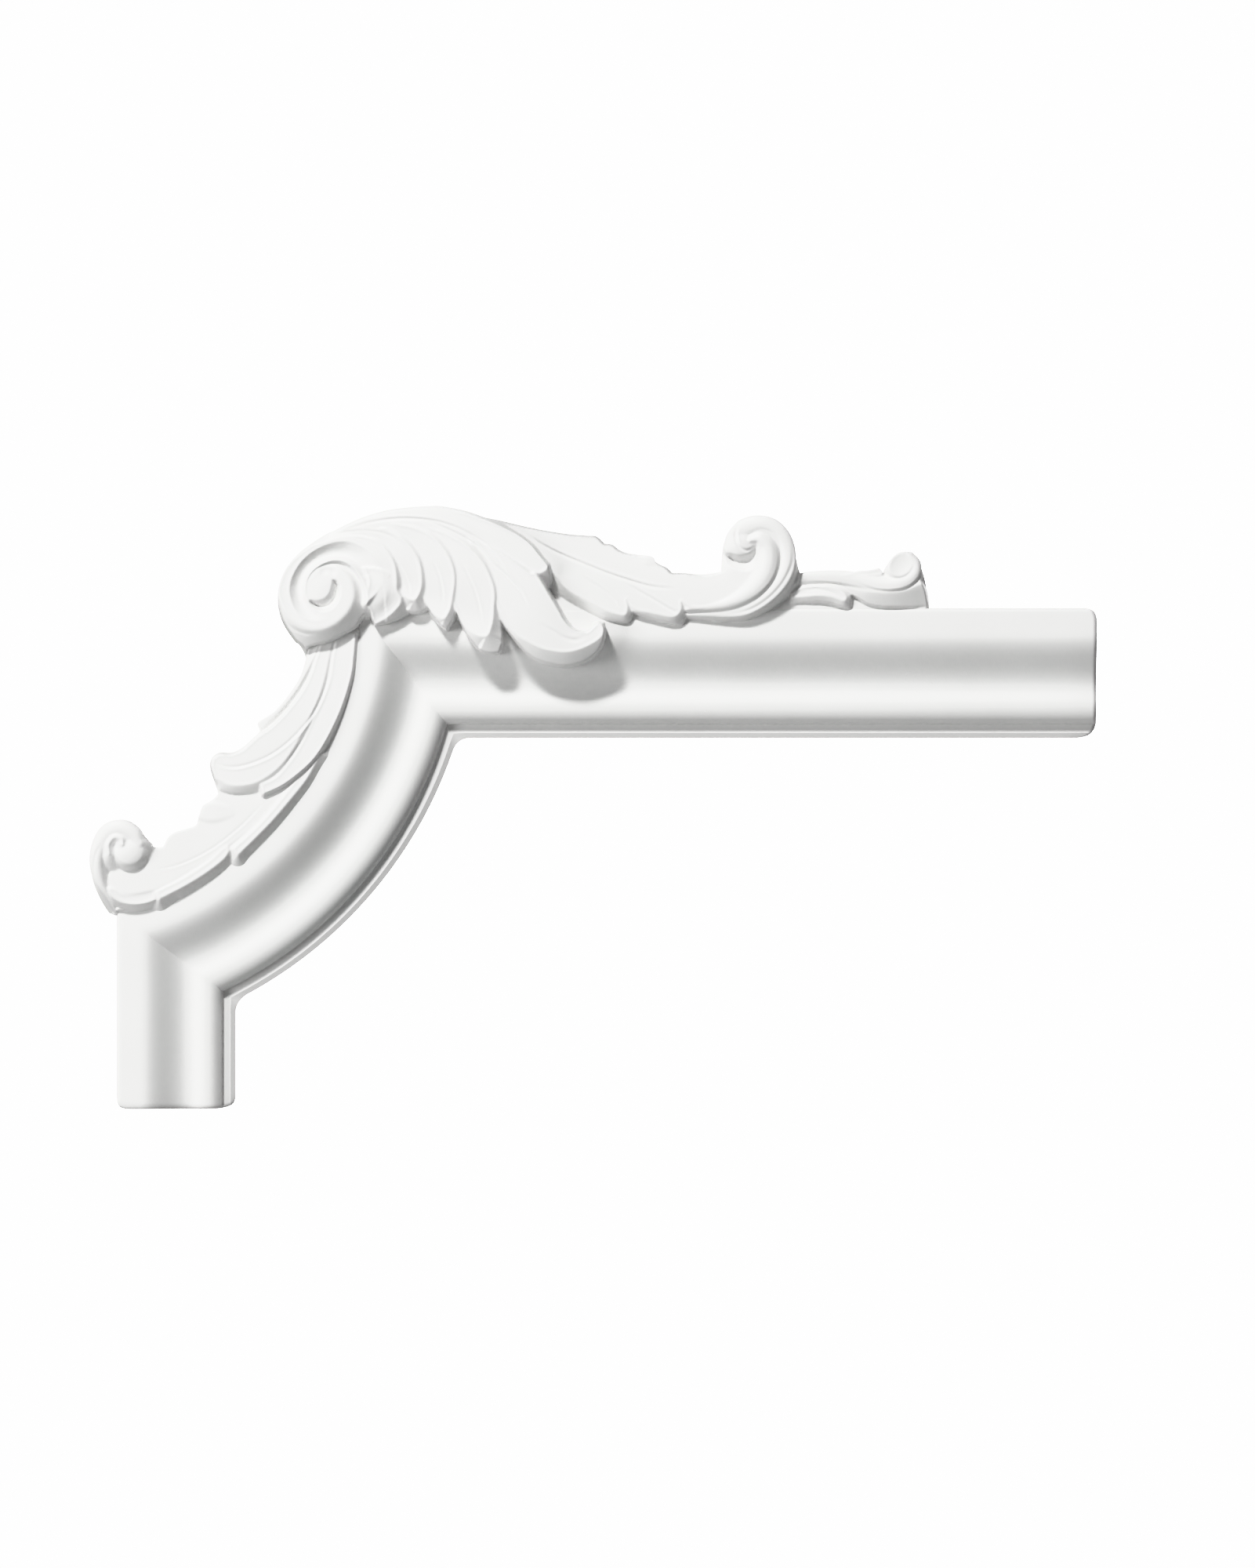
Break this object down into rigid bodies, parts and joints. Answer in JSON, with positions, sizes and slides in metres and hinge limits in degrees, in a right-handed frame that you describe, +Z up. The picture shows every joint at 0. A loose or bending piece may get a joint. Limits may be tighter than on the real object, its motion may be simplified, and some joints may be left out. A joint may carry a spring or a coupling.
{
  "type": "moulding corner piece",
  "caption": "Cast corner of wall panel moulding: two arms joined by a scooped arc, with an acanthus leaf, a volute and small scrolls along the outer edge.",
  "frame": {"origin": "on the flat back, behind the upper mitre, where the long arm meets the scooped arc", "axes": "+X along the long arm to its square end, +Y into the wall, +Z up, with the short arm running down"},
  "size_m": [0.4643, 0.0424, 0.2784],
  "materials": {
    "casting": "satin white primer over a smooth casting"
  },
  "bodies": {
    "root": {"corner_moulding": "casting"}
  },
  "joints": []
}
